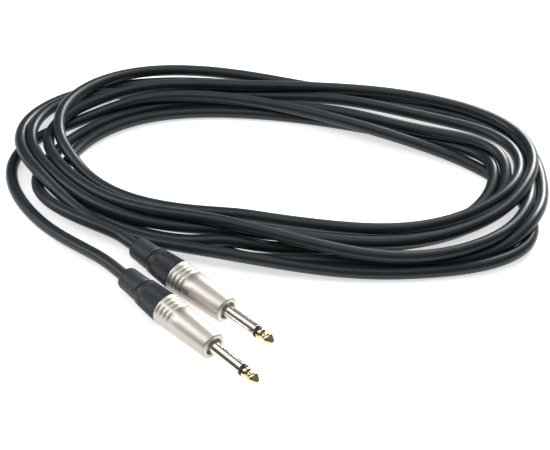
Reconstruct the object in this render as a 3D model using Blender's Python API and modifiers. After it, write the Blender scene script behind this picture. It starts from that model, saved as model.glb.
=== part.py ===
"""Instrument cable: two straight jack plugs on one coiled cable.

Each plug is a turned shell round a real contact set, with a boot and a ribbed
collar that screw off the back.  The cable lies as an oval coil with one lead
running out to each plug.  Units are metres, +Z is up, the floor is z = 0.
"""
import math

import bpy
from mathutils import Matrix
from mathutils import Vector

# ---------------------------------------------------------------- dimensions
MM = 0.001
CABLE_RADIUS = 3.25 * MM
FINGER_RADIUS = 3.175
FINGER_LENGTH = 31.75
SHELL_LENGTH = 35.7
SHELL_FRONT_RADIUS = 6.95
SHELL_REAR_RADIUS = 8.45
COLLAR_REAR = -52.4
BOOT_REAR = -67.4
TURN_STEPS = 32
AXIS_HEIGHT = SHELL_REAR_RADIUS * MM
COIL_HEIGHT = 20.0 * MM

# Where the middle of the plugs' footprint falls on the layout sheet (mm).
LAYOUT_CENTRE = (-39.702, -71.716)

# Shell face on the layout sheet (mm) and turn towards the front (degrees).
PLUGS = {
    "a": {"face": (-29.5, -97.3), "turn": 46.5},
    "b": {"face": (-23.5, -72.7), "turn": 43.9},
}

# Outline of the coil as it lies, outside and inside, on the layout sheet (mm).
COIL_OUTSIDE = (
    (-152.3, 60.0), (-150.5, 71.0), (-146.0, 82.0), (-138.0, 96.5),
    (-125.0, 111.0), (-105.0, 126.0), (-80.0, 138.0), (-52.0, 141.0),
    (-18.0, 134.5), (15.0, 124.0), (45.0, 117.0), (71.0, 112.0),
    (98.0, 103.0), (117.0, 92.0), (132.0, 77.0), (142.0, 60.0),
    (147.0, 42.0), (148.5, 26.0), (146.0, 10.0), (140.0, -8.0),
    (130.0, -24.0), (113.0, -36.0), (90.0, -42.5), (66.0, -45.5),
    (40.0, -46.5), (13.0, -45.5), (-13.0, -38.5), (-39.0, -28.5),
    (-58.0, -19.5), (-70.0, -14.5), (-77.5, -11.8), (-82.0, -9.8),
    (-88.2, -15.9), (-91.5, -13.5), (-99.0, -5.0), (-112.0, 4.5),
    (-126.0, 17.0), (-136.0, 30.0), (-142.3, 41.5), (-143.9, 50.2),
    (-145.2, 51.5), (-150.6, 51.9), (-152.2, 54.0),
)
COIL_INSIDE = (
    (-112.0, 50.0), (-107.0, 38.0), (-97.0, 27.5), (-82.0, 18.5),
    (-63.0, 10.5), (-39.0, 3.5), (-13.0, 0.5), (14.0, -1.0),
    (40.0, -4.0), (66.0, -4.5), (91.0, 1.5), (107.0, 11.0),
    (115.0, 21.0), (115.0, 32.0), (100.0, 44.5), (70.0, 63.5),
    (42.0, 77.0), (14.0, 86.5), (-15.0, 91.0), (-44.0, 92.5),
    (-68.0, 88.5), (-88.0, 79.0), (-103.0, 66.0),
)

# The lead of plug a after its straight stretch: x, y, z on the sheet (mm).
LEAD_A_ROUTE = (
    (-90.8, -33.2, 7.7), (-98.5, -26.6, 5.9), (-107.0, -19.4, 4.2),
    (-116.5, -10.6, 3.4), (-126.5, 0.8, 3.3), (-134.5, 11.5, 3.3),
    (-141.0, 24.0, 3.3), (-145.3, 34.5, 3.3), (-147.6, 43.0, 3.3),
    (-148.2, 51.0, 3.3),
)
LEAD_A_STRAIGHT = (-67.7, -72.5, -77.5, -82.0)
LEAD_B_STRAIGHT = (-67.7, -72.0, -76.5, -80.5, -85.0)


# ------------------------------------------------------------------- helpers
def clear_scene():
    """Remove every object that the file opens with."""
    for thing in list(bpy.data.objects):
        bpy.data.objects.remove(thing, do_unlink=True)


def make_collection(name):
    """Return a new collection linked to the scene."""
    collection = bpy.data.collections.new(name)
    bpy.context.scene.collection.children.link(collection)
    return collection


def make_material(name, colour, metallic, roughness):
    """Return a plain Principled material."""
    material = bpy.data.materials.new(name)
    material.use_nodes = True
    shader = material.node_tree.nodes["Principled BSDF"]
    shader.inputs["Base Color"].default_value = (*colour, 1.0)
    shader.inputs["Metallic"].default_value = metallic
    shader.inputs["Roughness"].default_value = roughness
    return material


def on_sheet(x, y, z=0.0):
    """Turn a layout point in millimetres into metres about the footprint."""
    return Vector(((x - LAYOUT_CENTRE[0]) * MM, (y - LAYOUT_CENTRE[1]) * MM, z * MM))


def smooth_through(points, pieces, closed):
    """Read a smooth curve through the points, with that many pieces a gap."""
    count = len(points)
    gaps = count if closed else count - 1
    result = []
    for gap in range(gaps):
        before = points[(gap - 1) % count] if closed or gap > 0 else points[0]
        start = points[gap]
        end = points[(gap + 1) % count]
        last = gap + 2 > count - 1 and not closed
        after = points[count - 1] if last else points[(gap + 2) % count]
        for piece in range(pieces):
            t = piece / pieces
            result.append(
                0.5 * (
                    2.0 * start
                    + (end - before) * t
                    + (2.0 * before - 5.0 * start + 4.0 * end - after) * t ** 2
                    + (3.0 * start - before - 3.0 * end + after) * t ** 3
                )
            )
    if not closed:
        result.append(points[-1].copy())
    return result


def add_object(name, data, collection, material, parent=None):
    """Link a named object with its own material."""
    thing = bpy.data.objects.new(name, data)
    thing.data.materials.append(material)
    collection.objects.link(thing)
    if parent is not None:
        thing.parent = parent
    return thing


def turned(name, profile, closed, plug, material, steps=TURN_STEPS):
    """Turn a profile of (along, radius) millimetres round the plug's axis."""
    mesh = bpy.data.meshes.new(name)
    points = [(radius * MM, 0.0, along * MM) for along, radius in profile]
    edges = [(index, index + 1) for index in range(len(points) - 1)]
    if closed:
        edges.append((len(points) - 1, 0))
    mesh.from_pydata(points, edges, [])
    thing = add_object(name, mesh, plug["collection"], material, plug["frame"])
    screw = thing.modifiers.new("Turn", "SCREW")
    screw.axis = "Z"
    screw.angle = math.tau
    screw.screw_offset = 0.0
    screw.steps = steps
    screw.render_steps = steps
    screw.use_merge_vertices = True
    screw.merge_threshold = 0.00001
    screw.use_smooth_shade = False
    return thing


def tube(name, points, radius, resolution, collection, material, parent=None):
    """Run a round tube with closed ends along the points."""
    curve = bpy.data.curves.new(name, "CURVE")
    curve.dimensions = "3D"
    curve.bevel_depth = radius
    curve.bevel_resolution = resolution
    curve.use_fill_caps = True
    spline = curve.splines.new("POLY")
    spline.points.add(len(points) - 1)
    for control, point in zip(spline.points, points):
        control.co = (*point, 1.0)
    return add_object(name, curve, collection, material, parent)


def plug_frame(letter, facts, collection):
    """Set an empty at the shell's face, its Z along the finger."""
    turn = math.radians(facts["turn"])
    along = Vector((math.cos(turn), -math.sin(turn), 0.0))
    up = Vector((0.0, 0.0, 1.0))
    across = along.cross(up)
    frame = bpy.data.objects.new("plug_" + letter, None)
    collection.objects.link(frame)
    place = on_sheet(*facts["face"])
    place.z = AXIS_HEIGHT
    axes = Matrix((up, across, along)).transposed().to_4x4()
    frame.matrix_world = Matrix.Translation(place) @ axes
    return frame


def beside_plug(facts, along, height=AXIS_HEIGHT):
    """Return a point on the plug's axis, that many millimetres from the face."""
    turn = math.radians(facts["turn"])
    x = facts["face"][0] + along * math.cos(turn)
    y = facts["face"][1] - along * math.sin(turn)
    point = on_sheet(x, y)
    point.z = height
    return point


# ------------------------------------------------------------ plug sub-parts
def shell_profile():
    """Tapered barrel: round front edge, four grooves, web and thread bore."""
    taper = (SHELL_REAR_RADIUS - SHELL_FRONT_RADIUS) / (SHELL_LENGTH - 1.2)
    profile = [(0.0, 4.7), (0.0, SHELL_FRONT_RADIUS - 1.2)]
    for step in range(1, 5):
        angle = math.radians(22.5 * step)
        along = -1.2 * (1.0 - math.cos(angle))
        radius = SHELL_FRONT_RADIUS - 1.2 + 1.2 * math.sin(angle)
        profile.append((along, radius))
    for groove in range(4):
        start = -25.1 - 2.65 * groove
        outer = SHELL_FRONT_RADIUS - (start + 1.2) * taper
        profile.append((start, outer))
        profile.append((start - 0.35, outer - 0.32))
        profile.append((start - 0.75, outer - 0.32))
        profile.append((start - 1.1, outer + 0.04))
    profile.append((-SHELL_LENGTH, SHELL_REAR_RADIUS))
    profile.extend([(-SHELL_LENGTH, 6.5), (-25.0, 6.5), (-25.0, 6.0)])
    profile.extend([(-4.8, 6.0), (-4.8, 3.2), (-3.3, 3.2), (-3.3, 4.7)])
    return profile


def sleeve_profile():
    """Ground contact: finger tube, flared flange and rear neck."""
    return [
        (20.4, 2.35), (20.4, FINGER_RADIUS - 0.1), (20.3, FINGER_RADIUS),
        (-0.5, FINGER_RADIUS), (-1.4, 3.5), (-2.0, 4.1), (-2.3, 4.4),
        (-3.0, 4.4), (-3.0, 2.9), (-8.4, 2.9), (-8.4, 2.35),
    ]


def insulator_profile():
    """Tube between the contacts, with the ring that shows on the finger."""
    return [
        (22.2, 1.75), (22.2, 3.1), (20.7, 3.1), (20.7, 2.05),
        (-8.7, 2.05), (-8.7, 1.75),
    ]


def tip_profile():
    """Signal contact: pointed tip, neck, ridge and the rod behind them."""
    return [
        (FINGER_LENGTH, 0.0), (FINGER_LENGTH, 0.75), (31.4, 1.15),
        (29.0, 2.85), (28.5, 3.08), (28.0, 3.15), (27.5, 3.05),
        (27.0, 2.75), (26.0, 2.1), (25.4, 1.95), (24.9, 2.1),
        (24.3, 2.75), (23.9, 3.05), (23.5, 3.15), (22.5, 3.15),
        (22.5, 1.45), (-14.0, 1.45), (-14.0, 0.0),
    ]


def collar_profile():
    """Ribbed collar's body with the thread nose that enters the shell."""
    return [
        (-26.8, 5.2), (-26.8, 6.0), (-27.0, 6.2), (-36.0, 6.2),
        (-36.0, 8.2), (-36.2, 8.38), (-51.4, 7.35), (-52.0, 7.15),
        (COLLAR_REAR, 6.75), (COLLAR_REAR, 5.2),
    ]


def boot_profile():
    """Soft sleeve: neck inside the collar, smooth body, round back end."""
    profile = [(-44.6, 3.6), (-44.6, 4.9), (-52.7, 4.9), (-52.7, 6.7)]
    for step in range(7):
        angle = math.radians(15.0 * step)
        along = BOOT_REAR + 2.4 * (1.0 - math.sin(angle))
        radius = 3.7 + 2.4 * math.cos(angle)
        profile.append((along, radius))
    profile.append((BOOT_REAR, 3.6))
    return profile


def ground_lug(letter, plug, material, cutters):
    """Washer behind the web with a long tab for the shield's wires."""
    name = "ground_lug_" + letter
    washer = [(-5.1, 3.2), (-5.1, 5.5), (-5.9, 5.5), (-5.9, 3.2)]
    lug = turned(name, washer, True, plug, material)
    bpy.ops.mesh.primitive_cube_add(size=1.0)
    tab = bpy.context.object
    tab.name = name + "_tab"
    for owner in list(tab.users_collection):
        owner.objects.unlink(tab)
    cutters.objects.link(tab)
    tab.parent = plug["frame"]
    tab.location = (5.225 * MM, 0.0, -13.6 * MM)
    tab.scale = (0.55 * MM, 3.0 * MM, 16.4 * MM)
    tab.display_type = "WIRE"
    tab.hide_render = True
    union = lug.modifiers.new("Tab", "BOOLEAN")
    union.operation = "UNION"
    union.solver = "EXACT"
    union.object = tab
    return lug


def build_plug(letter, facts, collection, cutters, looks):
    """Make the separate pieces of one plug about its own axis."""
    plug = {"frame": plug_frame(letter, facts, collection), "collection": collection}
    turned("shell_" + letter, shell_profile(), True, plug, looks["shell"])
    turned("sleeve_" + letter, sleeve_profile(), True, plug, looks["finger"])
    turned("insulator_" + letter, insulator_profile(), True, plug, looks["insulator"])
    turned("tip_" + letter, tip_profile(), False, plug, looks["tip"])
    ground_lug(letter, plug, looks["lug"], cutters)
    nut = [(-6.2, 3.2), (-6.2, 4.6), (-8.2, 4.6), (-8.2, 3.2)]
    turned("lock_nut_" + letter, nut, True, plug, looks["nut"])
    washer = [(-9.0, 1.75), (-9.0, 4.5), (-11.5, 4.5), (-11.5, 1.75)]
    turned("rear_insulator_" + letter, washer, True, plug, looks["rear_insulator"])
    cup = [
        (-14.3, 0.0), (-14.3, 1.9), (-18.3, 1.9), (-18.3, 0.95),
        (-15.8, 0.95), (-15.8, 0.0),
    ]
    turned("solder_cup_" + letter, cup, False, plug, looks["cup"], steps=16)
    core = [(-16.1, 0.0), (-16.1, 0.6), (-20.0, 0.6), (-20.0, 1.5), (-26.0, 1.5), (-26.0, 0.0)]
    turned("core_" + letter, core, False, plug, looks["core"], steps=16)
    tail = [
        Vector((2.45 * MM, 0.0, -26.0 * MM)), Vector((2.7 * MM, 0.0, -24.8 * MM)),
        Vector((3.3 * MM, 0.0, -23.4 * MM)), Vector((3.95 * MM, 0.0, -22.0 * MM)),
        Vector((4.1 * MM, 0.0, -19.5 * MM)),
    ]
    tube("shield_tail_" + letter, tail, 0.6 * MM, 2, collection, looks["shield"], plug["frame"])
    chuck = [(-26.8, 3.6), (-26.8, 4.9), (-41.5, 4.9), (-44.0, 4.1), (-44.0, 3.6)]
    turned("chuck_" + letter, chuck, True, plug, looks["chuck"])
    jacket = [(-26.3, 0.0), (-26.3, 3.25), (BOOT_REAR, 3.25), (BOOT_REAR, 0.0)]
    turned("cable_end_" + letter, jacket, False, plug, looks["jacket"], steps=16)
    turned("boot_" + letter, boot_profile(), True, plug, looks["boot"])
    turned("collar_" + letter, collar_profile(), True, plug, looks["collar"])


# --------------------------------------------------------------- the cable
def build_coil(collection, material):
    """Make the closed outer shape of the oval coil as one flat ring."""
    curve = bpy.data.curves.new("cable_coil", "CURVE")
    curve.dimensions = "2D"
    curve.fill_mode = "BOTH"
    curve.extrude = COIL_HEIGHT / 2.0
    for outline in (COIL_OUTSIDE, COIL_INSIDE):
        corners = [on_sheet(x, y) for x, y in outline]
        points = smooth_through(corners, 3, True)
        spline = curve.splines.new("POLY")
        spline.points.add(len(points) - 1)
        for control, point in zip(spline.points, points):
            control.co = (point.x, point.y, 0.0, 1.0)
        spline.use_cyclic_u = True
    coil = add_object("cable_coil", curve, collection, material)
    coil.location.z = COIL_HEIGHT / 2.0
    return coil


def build_leads(collection, material):
    """Run one lead from each plug's back end to the coil."""
    straight = [beside_plug(PLUGS["a"], along) for along in LEAD_A_STRAIGHT]
    bent = [on_sheet(*point) for point in LEAD_A_ROUTE]
    route = smooth_through(straight + bent, 1, False)
    route = smooth_through(route, 2, False)
    tube("cable_lead_a", route, CABLE_RADIUS, 3, collection, material)
    straight = [beside_plug(PLUGS["b"], along) for along in LEAD_B_STRAIGHT]
    tube("cable_lead_b", straight, CABLE_RADIUS, 3, collection, material)


# ------------------------------------------------------------------- build
def make_looks():
    """Return the plain materials by sub-part."""
    return {
        "shell": make_material("shell_nickel", (0.78, 0.76, 0.72), 1.0, 0.35),
        "finger": make_material("finger_nickel", (0.80, 0.79, 0.76), 1.0, 0.15),
        "insulator": make_material("insulator_black", (0.02, 0.02, 0.02), 0.0, 0.4),
        "tip": make_material("tip_gold", (0.90, 0.68, 0.30), 1.0, 0.15),
        "lug": make_material("lug_tinned", (0.70, 0.70, 0.68), 1.0, 0.4),
        "nut": make_material("nut_brass", (0.75, 0.62, 0.32), 1.0, 0.3),
        "rear_insulator": make_material("washer_plastic", (0.55, 0.12, 0.08), 0.0, 0.5),
        "cup": make_material("cup_tinned", (0.72, 0.72, 0.70), 1.0, 0.35),
        "core": make_material("core_white", (0.85, 0.85, 0.82), 0.0, 0.5),
        "shield": make_material("shield_copper", (0.80, 0.45, 0.25), 1.0, 0.4),
        "chuck": make_material("chuck_plastic", (0.10, 0.10, 0.11), 0.0, 0.5),
        "jacket": make_material("cable_jacket", (0.03, 0.035, 0.04), 0.0, 0.45),
        "boot": make_material("boot_rubber", (0.03, 0.035, 0.04), 0.0, 0.6),
        "collar": make_material("collar_plastic", (0.02, 0.025, 0.03), 0.0, 0.5),
    }


def main():
    """Build the whole instrument cable."""
    clear_scene()
    parts = make_collection("instrument_cable")
    cutters = make_collection("cutters")
    looks = make_looks()
    for letter, facts in PLUGS.items():
        build_plug(letter, facts, parts, cutters, looks)
    build_coil(parts, looks["jacket"])
    build_leads(parts, looks["jacket"])


main()
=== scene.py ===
import math

import bmesh
import bpy
import numpy as np
from bpy.props import FloatProperty
from bpy.props import FloatVectorProperty
from bpy.props import IntProperty
from bpy.props import PointerProperty
from mathutils import Matrix
from mathutils import Vector


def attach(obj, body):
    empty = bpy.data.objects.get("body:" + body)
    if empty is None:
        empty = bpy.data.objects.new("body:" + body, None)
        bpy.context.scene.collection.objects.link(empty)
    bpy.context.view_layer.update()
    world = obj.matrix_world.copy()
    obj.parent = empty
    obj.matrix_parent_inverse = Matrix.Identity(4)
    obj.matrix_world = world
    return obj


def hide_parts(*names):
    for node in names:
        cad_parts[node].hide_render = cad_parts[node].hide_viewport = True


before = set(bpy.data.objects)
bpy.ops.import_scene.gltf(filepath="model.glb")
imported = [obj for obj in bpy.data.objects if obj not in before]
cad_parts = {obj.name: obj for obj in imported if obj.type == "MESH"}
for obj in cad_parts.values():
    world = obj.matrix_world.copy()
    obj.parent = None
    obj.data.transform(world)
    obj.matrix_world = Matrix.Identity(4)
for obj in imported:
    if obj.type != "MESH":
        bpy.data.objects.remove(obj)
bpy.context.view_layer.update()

bl_info = {
    "name": "Instrument Cable",
    "version": (1, 0, 0),
    "blender": (4, 5, 0),
    "location": "View3D > Sidebar > Cable",
    "description": "Builds a coiled instrument cable with two jack plugs",
    "category": "Object",
}

MM = 0.001
LAYOUT_CENTRE = (-39.702, -71.716)
AXIS_HEIGHT = 8.45
# Where each plug's front face lies on the sheet, how far it is turned, and at
# what angle round the barrel the grooves are left out.
PLUGS = {
    "a": {"face": (-29.5, -97.3), "turn": 46.5, "plain_strip": 112.0},
    "b": {"face": (-23.5, -72.7), "turn": 43.9, "plain_strip": 255.0},
}
STRAND = 6.5
ROUNDNESS = 6

# --------------------------------------------------------- the turned parts
# Outlines as (along the axis, radius) in millimetres. The axis starts at the
# barrel's front face and runs towards the tip.
SHELL_LENGTH = 35.7
SHELL_FRONT_RADIUS = 6.95
SHELL_REAR_RADIUS = 8.45
SHELL_EDGE = 1.2
GROOVE_START = -25.1
GROOVE_PITCH = 2.65
GROOVES = 4
# One groove: how far back from its start, and its share of the full depth.
GROOVE_OUTLINE = (
    (0.0, 0.0), (0.22, 0.4), (0.45, 0.85), (0.62, 1.0), (0.8, 0.85), (1.0, 0.4), (1.2, 0.0),
)
STRIP_HALF_ANGLE = 7.0
SHELL_INSIDE = (
    (-35.7, 6.5), (-25.0, 6.5), (-25.0, 6.0), (-4.8, 6.0),
    (-4.8, 3.2), (-3.3, 3.2), (-3.3, 4.7), (0.0, 4.7),
)
FINGER_OUTLINE = (
    (20.4, 2.35), (20.4, 3.0), (20.2, 3.175), (-0.5, 3.175), (-1.0, 3.28),
    (-1.5, 3.58), (-2.0, 4.1), (-2.3, 4.4), (-3.0, 4.4), (-3.0, 2.9), (-8.4, 2.9),
    (-8.4, 2.35),
)
RING_OUTLINE = (
    (22.2, 1.75), (22.2, 3.1), (20.7, 3.1), (20.7, 2.05), (-8.7, 2.05), (-8.7, 1.75),
)
TIP_OUTLINE = (
    (31.75, 0.0), (31.75, 0.7), (31.55, 1.0), (31.2, 1.3), (30.1, 2.06), (29.0, 2.82),
    (28.7, 2.98), (28.35, 3.1), (28.0, 3.15), (27.7, 3.11), (27.4, 3.0), (27.1, 2.83),
    (26.6, 2.48), (26.1, 2.15), (25.7, 1.99), (25.4, 1.95), (25.15, 1.99), (24.9, 2.12),
    (24.6, 2.42), (24.3, 2.76), (24.1, 2.94), (23.85, 3.07), (23.5, 3.15), (22.6, 3.15),
    (22.5, 3.05), (22.5, 1.45), (-14.0, 1.45), (-14.0, 0.0),
)
THREAD_START = -27.2
THREAD_END = -35.2
THREAD_RADIUS = 6.2
THREAD_DEPTH = 0.5
THREAD_RINGS_PER_TURN = 8
COLLAR_BODY = (
    (-36.0, 6.2), (-36.0, 8.15), (-36.1, 8.3), (-36.25, 8.36), (-36.6, 8.34), (-40.0, 8.13),
    (-44.0, 7.87), (-48.2, 7.58), (-49.4, 7.49), (-51.0, 7.37), (-51.5, 7.32),
    (-51.9, 7.18), (-52.2, 7.0), (-52.4, 6.75), (-52.4, 5.2),
)
RIBS_FRONT = -36.2
RIBS_REAR = -49.0
STEPS_PER_RIB = 4
BOOT_OUTLINE = (
    (-44.6, 3.6), (-44.6, 4.9), (-52.7, 4.9), (-52.7, 6.4), (-52.85, 6.62),
    (-53.2, 6.69), (-57.0, 6.48),
    (-61.0, 6.26), (-65.0, 6.1), (-65.6, 6.02), (-66.2, 5.78), (-66.7, 5.4), (-67.05, 4.9),
    (-67.3, 4.3), (-67.4, 3.7), (-67.4, 3.6),
)
TURN_STEPS = 120
FLOOR_SIZE = 6.0
SENSOR_WIDTH = 36.0
CLOSEST_SEEN = 0.01
# How bright the room is at each height, from level with the floor to overhead.
SKY_LEVELS = (
    (0.0, 0.9), (0.04, 0.12), (0.3, 0.12), (0.42, 0.9), (0.55, 0.35), (0.68, 0.9),
    (0.8, 0.5), (1.0, 0.8),
)
# Each soft light: its place from the sheet's middle, its width and its depth.
LIGHTS = {
    "window": ((0.62, 0.98, 0.55), 0.4, 0.55),
    "side": ((-0.95, 0.02, 0.72), 0.3, 0.9),
    "overhead": ((-0.1, -0.1, 1.3), 1.2, 1.2),
}
EDGE_STEPS = 7
# Radii that tell the outside of a barrel or collar from its bore.
OUTSIDE_RADIUS = 7.0
NOSE_OUTSIDE_RADIUS = 6.0
SHELL_RIM = 0.3
CREST_SLOPE = 1.6
SHARP_ANGLE = 35.0
RIB_SHARP_ANGLE = 28.0

# ------------------------------------------------------------ the coil's lay
# Fourteen lines across the bundle, clockwise as seen from above and starting
# at the left end: where each starts at the inner edge and which way is out.
STATIONS = (
    ((-108, 60), (-1.0, 0.0)),
    ((-98, 76), (-0.64, 0.77)),
    ((-73, 88), (0.0, 1.0)),
    ((-14, 90), (0.0, 1.0)),
    ((43, 74), (0.0, 1.0)),
    ((97, 46), (0.0, 1.0)),
    ((113, 48), (0.8, 0.6)),
    ((118, 30), (1.0, 0.0)),
    ((112, 6), (0.707, -0.707)),
    ((65, -5), (0.0, -1.0)),
    ((13, -1), (0.0, -1.0)),
    ((-39, 3), (0.0, -1.0)),
    ((-94, 28), (0.0, -1.0)),
    ((-115, 60), (0.0, -1.0)),
)

# One row for each turn of the cable: (distance out, height) on every line, in
# millimetres, clockwise.
TURNS = {
    "first": (
        (38, 3.3), (14, 3.3), (12, 9.8), (6, 9.8), (2, 9.8), (7, 5), (-3, 3.3),
        (9, 3.3), (34, 3.3), (35.5, 3.3), (37, 6), (31.5, 10), (33, 4.5), (43, 9.5),
    ),
    "second": (
        (37, 10), (39, 5), (34, 3.3), (29, 3.3), (31, 3.3), (47, 3.3), (30, 3.3),
        (18, 6), (24.5, 8), (31.5, 10.5), (26, 14.5), (13, 14.5), (17, 10), (20, 11),
    ),
    "third": (
        (24.5, 9.8), (19, 9.5), (24, 9.8), (20, 9.8), (34, 10), (49, 9.8), (32, 9.8),
        (22, 13), (12, 12), (19, 9.8), (18.5, 9.8), (14.5, 9.8), (26, 8), (29, 8.5),
    ),
    "fourth": (
        (33, 9), (34, 9), (21.5, 4), (20, 3.3), (24, 9.8), (33, 7), (23, 10),
        (15, 10.5), (2, 9.8), (9, 9.8), (7, 9.8), (0, 7), (2, 3.5), (6, 5),
    ),
    "fifth": (
        (17.5, 9.8), (26, 15), (42, 7), (37, 5), (38, 3.3), (59, 3.3), (35, 3.3),
        (26, 6), (30, 6), (29, 3.3), (26.5, 3.3),
    ),
}
FIRST_LEFT = (-145.5, 62.0, 3.3)
FOLD = (
    (0.0, -28.5, 3.3), (-10.0, -30.5, 3.3), (-20.0, -32.5, 3.3),
    (-29.5, -29.5, 3.3), (-33.0, -20.5, 3.3), (-33.0, -9.0, 3.3),
    (-29.5, 0.0, 3.3), (-20.0, 3.5, 3.3), (-10.0, 2.5, 3.3), (0.0, 0.0, 3.3),
)
BACKWARD = {
    "sixth": (
        (4, 3.3), (6, 3.3), (-3, 3.3), (4, 9.5), (6, 7), (16, 3.3), (8, 3.3),
        (3, 3.3), (2, 3.3), (0, 3.3), (4, 3.3),
    ),
    "seventh": (
        (44, 3.3), (25, 3.3), (25, 5), (21, 4), (14, 3.3), (5, 3.3), (8.5, 14),
        (13, 12), (14, 9.8), (12, 9.8), (11, 3.3), (11, 3.3), (7, 3.3), (13, 3.3),
    ),
}
# Where the cable runs straight out of each boot, along the plug's axis.
STRAIGHT_A = (-58, -67.7, -72.5, -77.5, -82.0)
STRAIGHT_B = (-79.5, -74.0, -67.7, -58)
BOOT_END = -67.0
LEAD_A = (
    (-90.8, -33.2, 7.7), (-98.5, -26.6, 5.9), (-107.0, -19.4, 4.2),
    (-116.5, -10.6, 3.4), (-126.5, 0.8, 3.3), (-134.5, 11.5, 3.3),
    (-141.0, 24.0, 3.3), (-145.3, 34.5, 3.3), (-147.6, 43.0, 3.3),
    (-148.2, 51.0, 3.3),
)
LEAD_B = (
    (-127.5, 50.0, 3.6), (-132.0, 40.0, 5.5), (-132.5, 29.0, 8.8),
    (-126.5, 16.0, 9.6), (-116.0, 3.6, 9.4), (-104.0, -6.3, 7.8),
    (-93.0, -14.0, 6.4),
)
POINT_SPACING = 5.5
FAIRING = 45.0
SOFTNESS = 0.06
FIXED_POINTS = 5
PINNED = 1000.0
READ_STEPS = 24
ROUNDS = 110
LAST_ROUNDS = 16
PUSHES = 2
PUSH_SHARE = 0.6
CLEARANCE = 1.003
NEIGHBOURS = 4
WEIGHT = 0.02
LAST_STIFFNESS = 0.15


def on_sheet(point):
    """Millimetres on the layout sheet to metres in the row frame."""
    return Vector((
        (point[0] - LAYOUT_CENTRE[0]) * MM,
        (point[1] - LAYOUT_CENTRE[1]) * MM,
        point[2] * MM,
    ))


def beside_plug(letter, along):
    """A point on a plug's axis, in millimetres on the sheet."""
    facts = PLUGS[letter]
    turn = math.radians(facts["turn"])
    return (
        facts["face"][0] + along * math.cos(turn),
        facts["face"][1] - along * math.sin(turn),
        AXIS_HEIGHT,
    )


def coil_route():
    """Chain leads, turns and the fold into one list of points."""
    def at(station, place):
        (x, y), (out_x, out_y) = STATIONS[station]
        return (x + out_x * place[0], y + out_y * place[0], place[1])

    route = [beside_plug("a", along) for along in STRAIGHT_A]
    route += list(LEAD_A)
    for name, turn in TURNS.items():
        for station, place in enumerate(turn):
            if name == "first" and station == 0:
                route.append(FIRST_LEFT)
                continue
            route.append(at(station, place))
    route += list(FOLD)
    for turn in BACKWARD.values():
        for station, place in zip(reversed(range(len(turn))), turn):
            route.append(at(station, place))
    route += list(LEAD_B)
    route += [beside_plug("b", along) for along in STRAIGHT_B]
    return np.array(route, float)


def smooth_read(route, spacing):
    """Read the route every so many millimetres along a smooth curve."""
    ends = np.vstack([2 * route[0] - route[1], route, 2 * route[-1] - route[-2]])
    gaps = np.sqrt(np.linalg.norm(np.diff(ends, axis=0), axis=1))
    knots = np.concatenate([[0], np.cumsum(gaps)])
    pieces = []
    for i in range(1, len(ends) - 2):
        t0, t1, t2, t3 = knots[i - 1:i + 3]
        p0, p1, p2, p3 = ends[i - 1:i + 3]
        t = np.linspace(t1, t2, READ_STEPS, endpoint=False)[:, None]
        a1 = (t1 - t) / (t1 - t0) * p0 + (t - t0) / (t1 - t0) * p1
        a2 = (t2 - t) / (t2 - t1) * p1 + (t - t1) / (t2 - t1) * p2
        a3 = (t3 - t) / (t3 - t2) * p2 + (t - t2) / (t3 - t2) * p3
        b1 = (t2 - t) / (t2 - t0) * a1 + (t - t0) / (t2 - t0) * a2
        b2 = (t3 - t) / (t3 - t1) * a2 + (t - t1) / (t3 - t1) * a3
        pieces.append((t2 - t) / (t2 - t1) * b1 + (t - t1) / (t2 - t1) * b2)
    fine = np.vstack(pieces + [route[-1:]])
    return even(fine, spacing)


def even(points, spacing):
    """The same line with points evenly spaced."""
    steps = np.linalg.norm(np.diff(points, axis=0), axis=1)
    run = np.concatenate([[0], np.cumsum(steps)])
    count = int(round(run[-1] / spacing)) + 1
    wanted = np.linspace(0, run[-1], count)
    return np.stack([np.interp(wanted, run, points[:, k]) for k in range(3)], axis=1)


def stiff_line(count, stiffness, hold):
    """Matrix that evens a line's bends while each point is held to its place."""
    second = np.zeros((count - 2, count))
    rows = np.arange(count - 2)
    second[rows, rows] = 1.0
    second[rows, rows + 1] = -2.0
    second[rows, rows + 2] = 1.0
    return np.linalg.inv(stiffness * second.T @ second + np.diag(hold))


def settle(points, rounds):
    """Even the bends, then push overlapping strands apart and lay them down."""
    count = len(points)
    fixed = np.zeros(count, bool)
    fixed[:FIXED_POINTS] = True
    fixed[-FIXED_POINTS:] = True
    hold = np.where(fixed, PINNED, 1.0)
    start = stiff_line(count, FAIRING, hold) @ (points * hold[:, None])
    start[:, 2] = np.maximum(start[:, 2], STRAND / 2)
    place = start.copy()
    index = np.arange(count)
    apart = np.abs(index[:, None] - index[None, :]) > NEIGHBOURS
    soft = stiff_line(count, SOFTNESS * FAIRING, np.where(fixed, PINNED, 1.0 + SOFTNESS))
    firm = stiff_line(count, LAST_STIFFNESS, np.where(fixed, PINNED, 1.0))
    for turn in range(rounds):
        late = turn > rounds - LAST_ROUNDS
        for _ in range(PUSHES):
            gap = place[:, None, :] - place[None, :, :]
            distance = np.sqrt((gap ** 2).sum(axis=2)) + 1e-9
            short = np.maximum(0.0, STRAND * CLEARANCE - distance)
            over = np.where(apart, short, 0.0)
            push = (gap / distance[:, :, None] * over[:, :, None]).sum(axis=1)
            hits = np.maximum(1, (over > 0).sum(axis=1))[:, None]
            place += PUSH_SHARE * push / np.sqrt(hits)
            place[:, 2] = np.maximum(place[:, 2], STRAND / 2)
        if late:
            wanted = np.where(fixed[:, None], PINNED * start, place)
            place = firm @ wanted
        else:
            wanted = place + SOFTNESS * start
            wanted[:, 2] -= WEIGHT
            wanted = np.where(fixed[:, None], PINNED * start, wanted)
            place = soft @ wanted
        place[:, 2] = np.maximum(place[:, 2], STRAND / 2)
    return place


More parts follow.
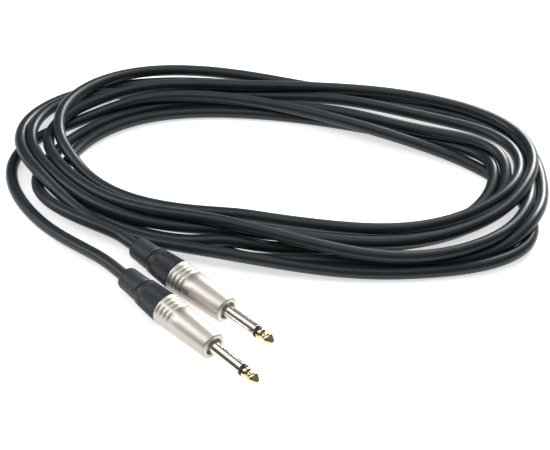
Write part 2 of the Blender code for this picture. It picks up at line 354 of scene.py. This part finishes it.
def cable_points():
    """The cable's centreline in metres."""
    points = smooth_read(coil_route(), POINT_SPACING)
    points = settle(points, ROUNDS)
    fine = smooth_read(points, POINT_SPACING / 2)
    return [on_sheet(point) for point in fine]


# ------------------------------------------------------------- shader maths
class Value:
    """A socket that can be used in sums."""

    def __init__(self, nodes, socket):
        self.nodes = nodes
        self.socket = socket

    def _sum(self, operation, first, second):
        return self.nodes.node("Math", {"operation": operation}, {0: first, 1: second})

    def __add__(self, other):
        return self._sum("ADD", self, other)

    def __radd__(self, other):
        return self._sum("ADD", other, self)

    def __mul__(self, other):
        return self._sum("MULTIPLY", self, other)

    def __rmul__(self, other):
        return self._sum("MULTIPLY", other, self)


class Nodes:
    """A node tree, with one method that adds any node to it."""

    def __init__(self, tree):
        self.tree = tree

    def node(self, kind, settings=None, sockets=None, out=0):
        """Add a node: its settings first, then the values or links of its sockets."""
        made = self.tree.nodes.new("ShaderNode" + kind)
        for key, value in (settings or {}).items():
            if key == "stops":
                self.set_stops(made.color_ramp.elements, value)
            else:
                setattr(made, key, value)
        for key, value in (sockets or {}).items():
            if isinstance(value, Value):
                self.tree.links.new(value.socket, made.inputs[key])
            else:
                made.inputs[key].default_value = value
        return Value(self, made.outputs[out])

    def set_stops(self, elements, stops):
        """Give a ramp its places and grey levels."""
        while len(elements) < len(stops):
            elements.new(0.5)
        for element, (place, level) in zip(elements, stops):
            element.position = place
            element.color = (level, level, level, 1.0)


class Finish(Nodes):
    """A material under construction."""

    def __init__(self, name, fixed=None):
        self.material = bpy.data.materials.new(name)
        self.material.use_nodes = True
        super().__init__(self.material.node_tree)
        self.shader = self.tree.nodes["Principled BSDF"]
        for socket, value in (fixed or {}).items():
            self.shader.inputs[socket].default_value = value

    def feed(self, socket, value):
        """Drive one of the surface's own sockets."""
        self.tree.links.new(value.socket, self.shader.inputs[socket])

    def place(self):
        """Object coordinates."""
        return self.node("TexCoord", out="Object")

    def noise(self, scale, detail=2.0, place=None):
        """Cloudy pattern between 0 and 1."""
        return self.node(
            "TexNoise", None,
            {"Vector": place or self.place(), "Scale": scale, "Detail": detail},
        )

    def blend(self, factor, first, second):
        """Mix two colours."""
        return self.node(
            "Mix", {"data_type": "RGBA"},
            {0: factor, 6: (*first, 1.0), 7: (*second, 1.0)}, out=2,
        )

    def raised(self, height, distance, strength=1.0):
        """Feed a height in metres to the surface's normal."""
        bump = self.node(
            "Bump", None, {"Height": height, "Distance": distance, "Strength": strength}
        )
        self.feed("Normal", bump)

    def along_plug(self, letter):
        """Object coordinates turned so that x runs along a plug's axis."""
        turn = math.radians(PLUGS[letter]["turn"])
        face = on_sheet((*PLUGS[letter]["face"], AXIS_HEIGHT))
        centred = self.node(
            "VectorMath", {"operation": "SUBTRACT"}, {0: self.place(), 1: tuple(face)}
        )
        return self.node(
            "VectorRotate", {"rotation_type": "Z_AXIS"}, {"Vector": centred, "Angle": turn}
        )


METAL = {"Metallic": 1.0}
RING_BLACK = (0.012, 0.012, 0.013)
# Sizes of moulded grain and how deep it goes, in metres.
FINE_GRAIN = 0.0004
GRAIN = 0.0005
COARSE_GRAIN = 0.0006
SHALLOW = 0.00001
MIDDLING = 0.00002
DEEP = 0.00003


def darker(colour, share):
    """The same colour with less light in it."""
    return tuple(part * share for part in colour)


def jacket_finish(colour):
    """Flexible jacket: charcoal, satin, with a fine drawn grain."""
    finish = Finish("cable_jacket")
    mottle = finish.noise(140.0, 3.0)
    grain = finish.noise(2200.0, 2.0)
    finish.feed("Base Color", finish.blend(mottle, darker(colour, 0.75), darker(colour, 1.25)))
    finish.feed("Roughness", 0.33 + 0.08 * mottle + 0.05 * grain)
    finish.raised(grain + 0.6 * mottle, 0.00003, 0.5)
    return finish.material


def satin_nickel(letter, colour):
    """Barrel: bead-blasted nickel plate with a fine speckle."""
    finish = Finish("shell_nickel_" + letter, METAL)
    along = finish.along_plug(letter)
    speckle = finish.noise(2600.0, 2.0, along)
    cloud = finish.noise(160.0, 2.0, along)
    patches = 0.5 * speckle + 0.5 * cloud
    finish.feed(
        "Base Color", finish.blend(patches, darker(colour, 0.88), darker(colour, 1.1))
    )
    finish.feed("Roughness", 0.36 + 0.12 * speckle + 0.05 * cloud)
    finish.raised(speckle, 0.00004, 0.35)
    return finish.material


def mirror_nickel(letter, colour):
    """Finger: polished nickel plate with hairline wear along it."""
    finish = Finish("finger_nickel_" + letter, METAL)
    along = finish.along_plug(letter)
    stretched = finish.node(
        "VectorMath", {"operation": "MULTIPLY"}, {0: along, 1: (0.06, 1.0, 1.0)}
    )
    lines = finish.noise(3000.0, 2.0, stretched)
    finish.feed("Base Color", finish.blend(lines, darker(colour, 0.94), colour))
    finish.feed("Roughness", 0.07 + 0.09 * lines)
    finish.raised(lines, 0.00001, 0.08)
    return finish.material


def gold_plate(colour):
    """Tip: polished gold plate, pale, with fine turning marks."""
    finish = Finish("tip_gold", METAL)
    marks = finish.noise(1500.0, 3.0)
    finish.feed("Base Color", finish.blend(marks, darker(colour, 0.86), colour))
    finish.feed("Roughness", 0.10 + 0.10 * marks)
    finish.raised(marks, 0.00001, 0.2)
    return finish.material


def moulded(name, colour, roughness, grain_size, grain_height):
    """Moulded plastic or rubber with a fine even grain."""
    finish = Finish(name)
    grain = finish.noise(1.0 / grain_size, 2.0)
    cloud = finish.noise(120.0, 2.0)
    patches = 0.5 * grain + 0.5 * cloud
    finish.feed(
        "Base Color", finish.blend(patches, darker(colour, 0.8), darker(colour, 1.2))
    )
    finish.feed("Roughness", roughness + 0.10 * cloud + 0.05 * grain)
    finish.raised(grain, grain_height, 0.5)
    return finish.material


def plain_metal(name, colour, roughness):
    """Inside metal parts: tinned, brass or copper, with a soft stain."""
    finish = Finish(name, METAL)
    stain = finish.noise(500.0, 4.0)
    finish.feed("Base Color", finish.blend(stain, darker(colour, 0.7), colour))
    finish.feed("Roughness", roughness + 0.15 * stain)
    finish.raised(stain, 0.00003, 0.4)
    return finish.material


def stranded_copper():
    """Twisted shield strands: slanting bands across the tail."""
    finish = Finish("shield_copper", METAL)
    bands = finish.node(
        "TexWave", {"wave_type": "BANDS", "bands_direction": "DIAGONAL"},
        {"Vector": finish.place(), "Scale": 900.0, "Distortion": 0.6},
    )
    finish.feed("Base Color", finish.blend(bands, (0.35, 0.15, 0.07), (0.85, 0.45, 0.28)))
    finish.feed("Roughness", 0.25 + 0.2 * bands)
    finish.raised(bands, 0.0001, 0.6)
    return finish.material


# ------------------------------------------------------------- mesh helpers
def plug_matrix(letter):
    """Carries a shape on the x axis to a plug's place."""
    facts = PLUGS[letter]
    return Matrix.Translation(on_sheet((*facts["face"], AXIS_HEIGHT))) @ Matrix.Rotation(
        -math.radians(facts["turn"]), 4, "Z"
    )


def spun(outline, steps, closed=True):
    """Spin an outline round the x axis into a closed shape."""
    shape = bmesh.new()
    points = [shape.verts.new((along * MM, 0.0, radius * MM)) for along, radius in outline]
    pairs = list(zip(points, points[1:]))
    if closed:
        pairs.append((points[-1], points[0]))
    edges = [shape.edges.new(pair) for pair in pairs]
    bmesh.ops.spin(
        shape, geom=points + edges, cent=(0, 0, 0), axis=(1, 0, 0),
        angle=2 * math.pi, steps=steps, use_merge=True, use_duplicate=False,
    )
    bmesh.ops.remove_doubles(shape, verts=shape.verts[:], dist=1e-7)
    bmesh.ops.recalc_face_normals(shape, faces=shape.faces[:])
    return shape


def radius_of(vert):
    """Distance from the x axis, in millimetres."""
    return math.hypot(vert.co.y, vert.co.z) / MM


def angle_of(vert):
    """Angle round the x axis in degrees, 0 at the side and 90 on top."""
    return math.degrees(math.atan2(vert.co.z, vert.co.y)) % 360.0


def set_radius(vert, radius):
    """Move a point in or out from the x axis."""
    ratio = radius / radius_of(vert)
    vert.co.y *= ratio
    vert.co.z *= ratio


def finished(name, shape, material, letter, body, nodes, ease, sharp=SHARP_ANGLE):
    """Round the corners, place the shape on its plug and tie it to its body."""
    corners = [
        edge for edge in shape.edges
        if len(edge.link_faces) == 2
        and math.degrees(edge.calc_face_angle(0.0)) > sharp
        and abs(edge.verts[0].co.x - edge.verts[1].co.x) < 1e-7
        and abs(radius_of(edge.verts[0]) - radius_of(edge.verts[1])) < 1e-4
    ]
    if ease:
        bmesh.ops.bevel(
            shape, geom=corners, offset=ease * MM, offset_type="OFFSET", segments=3,
            profile=0.5, affect="EDGES", clamp_overlap=True, material=-1,
        )
    for face in shape.faces:
        face.smooth = True
    for edge in shape.edges:
        if len(edge.link_faces) == 2 and math.degrees(edge.calc_face_angle(0.0)) > sharp:
            edge.smooth = False
    bmesh.ops.transform(shape, matrix=plug_matrix(letter), verts=shape.verts[:])
    mesh = bpy.data.meshes.new(name)
    shape.to_mesh(mesh)
    shape.free()
    mesh.materials.append(material)
    piece = bpy.data.objects.new(name, mesh)
    bpy.context.scene.collection.objects.link(piece)
    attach(piece, body)
    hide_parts(*nodes)


# ----------------------------------------------------------------- settings
class CableSettings(bpy.types.PropertyGroup):
    """Sizes and colour of the cable."""

    diameter: FloatProperty(
        name="Diameter", description="Outside diameter of the jacket",
        default=STRAND * MM, unit="LENGTH", precision=4,
    )
    length: FloatProperty(
        name="Length", description="Length of the cable from plug to plug",
        default=4.5, unit="LENGTH",
    )
    jacket: FloatVectorProperty(
        name="Jacket", description="Colour of the jacket",
        default=(0.011, 0.019, 0.025), subtype="COLOR", min=0.0, max=1.0,
    )


class PlugSettings(bpy.types.PropertyGroup):
    """Sizes and colours of the two plugs."""

    groove_depth: FloatProperty(
        name="Groove depth", description="Depth of the rings cut round the barrel",
        default=0.26 * MM, unit="LENGTH", precision=5,
    )
    ribs: IntProperty(
        name="Ribs", description="Grip ribs round the collar", default=42, min=12, max=120,
    )
    rib_depth: FloatProperty(
        name="Rib depth", description="Depth between the collar's ribs",
        default=0.42 * MM, unit="LENGTH", precision=5,
    )
    thread_pitch: FloatProperty(
        name="Thread pitch", description="Distance between the collar's threads",
        default=1.0 * MM, unit="LENGTH", precision=5,
    )
    nickel: FloatVectorProperty(
        name="Nickel", description="Colour of the barrel's plating",
        default=(0.64, 0.605, 0.55), subtype="COLOR", min=0.0, max=1.0,
    )
    polished: FloatVectorProperty(
        name="Polished nickel", description="Colour of the finger's plating",
        default=(0.78, 0.75, 0.70), subtype="COLOR", min=0.0, max=1.0,
    )
    gold: FloatVectorProperty(
        name="Gold", description="Colour of the tip's plating",
        default=(0.88, 0.74, 0.48), subtype="COLOR", min=0.0, max=1.0,
    )
    plastic: FloatVectorProperty(
        name="Plastic", description="Colour of the collar",
        default=(0.014, 0.021, 0.026), subtype="COLOR", min=0.0, max=1.0,
    )
    rubber: FloatVectorProperty(
        name="Rubber", description="Colour of the boot",
        default=(0.021, 0.031, 0.038), subtype="COLOR", min=0.0, max=1.0,
    )


class StageSettings(bpy.types.PropertyGroup):
    """Floor, light and camera."""

    camera_distance: FloatProperty(
        name="Camera distance", description="From the camera to the middle of the sheet",
        default=0.8, unit="LENGTH",
    )
    camera_pitch: FloatProperty(
        name="Camera pitch", description="How far the camera looks down",
        default=math.radians(42.0), unit="ROTATION",
    )
    focal_length: FloatProperty(
        name="Focal length", description="Lens of the camera in millimetres",
        default=97.85,
    )
    sky: FloatProperty(
        name="Sky", description="Brightness of the room above the floor", default=0.25,
    )
    window: FloatProperty(
        name="Window", description="Power of the soft light behind on the right", default=22.0,
    )
    side: FloatProperty(
        name="Left light", description="Power of the soft light on the left", default=4.5,
    )
    overhead: FloatProperty(
        name="Overhead light", description="Power of the wide light above", default=5.0,
    )


# ---------------------------------------------------------------- operators
class CABLE_OT_lay_cable(bpy.types.Operator):
    """Lay the cable in its coil with both leads running to the plugs"""

    bl_idname = "cable.lay_cable"
    bl_label = "Lay the cable"

    def execute(self, context):
        settings = context.scene.instrument_cable
        points = cable_points()
        curve = bpy.data.curves.new("cable", "CURVE")
        curve.dimensions = "3D"
        curve.bevel_depth = settings.diameter / 2
        curve.bevel_resolution = ROUNDNESS
        curve.use_fill_caps = True
        spline = curve.splines.new("POLY")
        spline.points.add(len(points) - 1)
        for control, point in zip(spline.points, points):
            control.co = (*point, 1.0)
        spline.use_smooth = True
        cable = bpy.data.objects.new("cable", curve)
        context.scene.collection.objects.link(cable)
        curve.materials.append(jacket_finish(settings.jacket))
        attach(cable, "cable")
        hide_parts("cable_coil", "cable_lead_a", "cable_lead_b")
        tuple(on_sheet(beside_plug("a", BOOT_END)))
        return {"FINISHED"}


def shell_radius(along):
    """Outside radius of the tapered barrel, grooves apart."""
    taper = (SHELL_REAR_RADIUS - SHELL_FRONT_RADIUS) / (SHELL_LENGTH - SHELL_EDGE)
    return SHELL_FRONT_RADIUS - (along + SHELL_EDGE) * taper


def shell_outline(groove_depth):
    """Barrel: round front edge, slight taper, soft grooves and the bores."""
    outline = []
    for step in range(EDGE_STEPS + 1):
        angle = math.pi / 2 * step / EDGE_STEPS
        outline.append((
            SHELL_EDGE * (math.cos(angle) - 1.0),
            SHELL_FRONT_RADIUS + SHELL_EDGE * (math.sin(angle) - 1.0),
        ))
    for along in (-8.0, -14.0, -20.0):
        outline.append((along, shell_radius(along)))
    for groove in range(GROOVES):
        for back, share in GROOVE_OUTLINE:
            along = GROOVE_START - GROOVE_PITCH * groove - back
            outline.append((along, shell_radius(along) - share * groove_depth))
    outline.append((-SHELL_LENGTH + 0.15, SHELL_REAR_RADIUS - 0.01))
    outline.append((-SHELL_LENGTH, SHELL_REAR_RADIUS - 0.15))
    return outline + list(SHELL_INSIDE)


class CABLE_OT_turn_shells(bpy.types.Operator):
    """Turn the two nickel barrels with their grooves"""

    bl_idname = "cable.turn_shells"
    bl_label = "Turn the barrels"

    def execute(self, context):
        settings = context.scene.instrument_plugs
        for letter, facts in PLUGS.items():
            shape = spun(shell_outline(settings.groove_depth / MM), TURN_STEPS)
            for vert in shape.verts:
                along = vert.co.x / MM
                off_strip = abs(angle_of(vert) - facts["plain_strip"])
                grooved = GROOVE_START >= along > SHELL_RIM - SHELL_LENGTH
                outside = radius_of(vert) > OUTSIDE_RADIUS
                if grooved and outside and off_strip < STRIP_HALF_ANGLE:
                    set_radius(vert, shell_radius(along))
            finished(
                "shell_look_" + letter, shape, satin_nickel(letter, settings.nickel), letter,
                "cable", ["shell_" + letter], 0.12,
            )
        return {"FINISHED"}


class CABLE_OT_turn_contacts(bpy.types.Operator):
    """Turn the fingers, their insulating rings and the gold tips"""

    bl_idname = "cable.turn_contacts"
    bl_label = "Turn the contacts"

    def execute(self, context):
        settings = context.scene.instrument_plugs
        gold = gold_plate(settings.gold)
        black = moulded("insulator_black", RING_BLACK, 0.3, FINE_GRAIN, SHALLOW)
        for letter in PLUGS:
            finished(
                "finger_look_" + letter, spun(FINGER_OUTLINE, TURN_STEPS),
                mirror_nickel(letter, settings.polished), letter,
                "cable", ["sleeve_" + letter], 0.05,
            )
            finished(
                "ring_look_" + letter, spun(RING_OUTLINE, TURN_STEPS), black, letter,
                "cable", ["insulator_" + letter], 0.08,
            )
            finished(
                "tip_look_" + letter, spun(TIP_OUTLINE, TURN_STEPS, closed=False), gold, letter,
                "cable", ["tip_" + letter], 0.0,
            )
        return {"FINISHED"}


def collar_outline(pitch):
    """Threaded nose and ribbed body of the collar."""
    rings = int(round((THREAD_START - THREAD_END) / pitch * THREAD_RINGS_PER_TURN))
    thread = [
        (THREAD_START + (THREAD_END - THREAD_START) * step / rings, THREAD_RADIUS)
        for step in range(rings + 1)
    ]
    return [(-26.8, 5.2), (-26.8, 5.7), *thread, *COLLAR_BODY]


class CABLE_OT_turn_collars(bpy.types.Operator):
    """Turn the two screwed collars with their ribs and threads"""

    bl_idname = "cable.turn_collars"
    bl_label = "Turn the collars"

    def execute(self, context):
        settings = context.scene.instrument_plugs
        pitch = settings.thread_pitch / MM
        depth = settings.rib_depth / MM
        plastic = moulded("collar_plastic", settings.plastic, 0.34, GRAIN, MIDDLING)
        steps = settings.ribs * STEPS_PER_RIB
        for letter in PLUGS:
            shape = spun(collar_outline(pitch), steps)
            for vert in shape.verts:
                along = vert.co.x / MM
                threaded = THREAD_END < along < THREAD_START
                ribbed = RIBS_REAR < along < RIBS_FRONT
                if threaded and radius_of(vert) > NOSE_OUTSIDE_RADIUS:
                    phase = (along / pitch + angle_of(vert) / 360.0) % 1.0
                    crest = abs(2.0 * phase - 1.0)
                    set_radius(vert, THREAD_RADIUS - THREAD_DEPTH * min(1.0, CREST_SLOPE * crest))
                elif ribbed and radius_of(vert) > OUTSIDE_RADIUS:
                    place = round(angle_of(vert) / 360.0 * steps) % STEPS_PER_RIB
                    if place >= STEPS_PER_RIB / 2:
                        set_radius(vert, radius_of(vert) - depth)
            finished(
                "collar_look_" + letter, shape, plastic, letter,
                "collar_" + letter, ["collar_" + letter], 0.0,
                sharp=RIB_SHARP_ANGLE,
            )
        return {"FINISHED"}


class CABLE_OT_turn_boots(bpy.types.Operator):
    """Turn the two rubber boots behind the collars"""

    bl_idname = "cable.turn_boots"
    bl_label = "Turn the boots"

    def execute(self, context):
        settings = context.scene.instrument_plugs
        rubber = moulded("boot_rubber", settings.rubber, 0.42, COARSE_GRAIN, DEEP)
        for letter in PLUGS:
            finished(
                "boot_look_" + letter, spun(BOOT_OUTLINE, TURN_STEPS), rubber, letter,
                "boot_" + letter, ["boot_" + letter], 0.08,
            )
        return {"FINISHED"}


class CABLE_OT_finish_insides(bpy.types.Operator):
    """Give the parts inside the barrels their finishes"""

    bl_idname = "cable.finish_insides"
    bl_label = "Finish the insides"

    def execute(self, context):
        jacket = context.scene.instrument_cable.jacket
        finishes = {
            "ground_lug": plain_metal("lug_tinned", (0.7, 0.7, 0.68), 0.25),
            "lock_nut": plain_metal("nut_brass", (0.75, 0.6, 0.3), 0.25),
            "rear_insulator": moulded("washer_fibre", (0.45, 0.1, 0.06), 0.6, FINE_GRAIN, DEEP),
            "solder_cup": plain_metal("cup_tinned", (0.72, 0.72, 0.7), 0.2),
            "core": moulded("core_white", (0.8, 0.8, 0.77), 0.35, GRAIN, SHALLOW),
            "shield_tail": stranded_copper(),
            "chuck": moulded("chuck_plastic", (0.08, 0.08, 0.09), 0.4, GRAIN, MIDDLING),
            "cable_end": moulded("jacket_end", jacket, 0.35, GRAIN, MIDDLING),
        }
        for letter in PLUGS:
            for part, material in finishes.items():
                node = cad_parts[part + "_" + letter]
                for slot in node.material_slots:
                    slot.material = material
        return {"FINISHED"}


def add_light(name, place, target, energy, width, depth):
    """A rectangular soft light that looks at a point."""
    light = bpy.data.lights.new(name, "AREA")
    light.energy = energy
    light.shape = "RECTANGLE"
    light.size = width
    light.size_y = depth
    lamp = bpy.data.objects.new(name, light)
    bpy.context.scene.collection.objects.link(lamp)
    lamp.location = place
    lamp.rotation_euler = (target - place).to_track_quat("-Z", "Y").to_euler()


def set_sky(scene, brightness):
    """A plain room: even above, and dim low down near the floor's far edge."""
    world = bpy.data.worlds.new("room")
    scene.world = world
    world.use_nodes = True
    nodes = Nodes(world.node_tree)
    place = nodes.node("TexCoord", out="Generated")
    height = nodes.node("SeparateXYZ", None, {0: place}, out="Z")
    level = nodes.node("ValToRGB", {"stops": SKY_LEVELS}, {0: height})
    background = world.node_tree.nodes["Background"]
    world.node_tree.links.new(level.socket, background.inputs["Color"])
    background.inputs["Strength"].default_value = brightness


class CABLE_OT_set_stage(bpy.types.Operator):
    """Set the pale floor, the soft lights and the camera"""

    bl_idname = "cable.set_stage"
    bl_label = "Set the stage"

    def execute(self, context):
        scene = context.scene
        settings = scene.instrument_stage
        shape = bmesh.new()
        bmesh.ops.create_grid(shape, x_segments=1, y_segments=1, size=FLOOR_SIZE)
        mesh = bpy.data.meshes.new("floor")
        shape.to_mesh(mesh)
        shape.free()
        floor = bpy.data.objects.new("floor", mesh)
        scene.collection.objects.link(floor)
        paper = Finish("floor_paper", {
            "Roughness": 0.9, "Emission Strength": 0.6, "Emission Color": (1.0, 1.0, 1.0, 1.0),
        })
        tone = paper.noise(3.0, 1.0)
        paper.feed("Base Color", paper.blend(tone, (0.9, 0.9, 0.9), (0.93, 0.93, 0.93)))
        mesh.materials.append(paper.material)
        set_sky(scene, settings.sky)
        middle = on_sheet((0.0, 0.0, 0.0))
        for name, (place, width, depth) in LIGHTS.items():
            energy = getattr(settings, name)
            add_light(name, middle + Vector(place), middle, energy, width, depth)
        camera = bpy.data.cameras.new("camera")
        camera.lens = settings.focal_length
        camera.sensor_width = SENSOR_WIDTH
        camera.clip_start = CLOSEST_SEEN
        stand = bpy.data.objects.new("camera", camera)
        scene.collection.objects.link(stand)
        pitch = settings.camera_pitch
        stand.location = middle + settings.camera_distance * Vector(
            (0.0, -math.cos(pitch), math.sin(pitch))
        )
        stand.rotation_euler = (math.pi / 2 - pitch, 0.0, 0.0)
        scene.camera = stand
        scene.view_settings.view_transform = "Standard"
        return {"FINISHED"}


OPERATORS = (
    CABLE_OT_lay_cable,
    CABLE_OT_turn_shells,
    CABLE_OT_turn_contacts,
    CABLE_OT_turn_collars,
    CABLE_OT_turn_boots,
    CABLE_OT_finish_insides,
    CABLE_OT_set_stage,
)
GROUPS = {
    "instrument_cable": CableSettings,
    "instrument_plugs": PlugSettings,
    "instrument_stage": StageSettings,
}


class CABLE_PT_panel(bpy.types.Panel):
    """Sizes and steps of the instrument cable"""

    bl_idname = "CABLE_PT_panel"
    bl_label = "Instrument Cable"
    bl_space_type = "VIEW_3D"
    bl_region_type = "UI"
    bl_category = "Cable"

    def draw(self, context):
        for group, kind in GROUPS.items():
            box = self.layout.box()
            for prop in kind.__annotations__:
                box.prop(getattr(context.scene, group), prop)
        for operator in OPERATORS:
            self.layout.operator(operator.bl_idname)


def register():
    """Add the settings, operators and panel."""
    for kind in (*GROUPS.values(), *OPERATORS, CABLE_PT_panel):
        bpy.utils.register_class(kind)
    for group, kind in GROUPS.items():
        setattr(bpy.types.Scene, group, PointerProperty(type=kind))


def unregister():
    """Take the settings, operators and panel away."""
    for group in GROUPS:
        delattr(bpy.types.Scene, group)
    for kind in (CABLE_PT_panel, *reversed(OPERATORS), *GROUPS.values()):
        bpy.utils.unregister_class(kind)


def main():
    """Make every piece in order."""
    register()
    bpy.ops.cable.lay_cable()
    bpy.ops.cable.turn_shells()
    bpy.ops.cable.turn_contacts()
    bpy.ops.cable.turn_collars()
    bpy.ops.cable.turn_boots()
    bpy.ops.cable.finish_insides()
    bpy.ops.cable.set_stage()


if __name__ == "__main__":
    main()
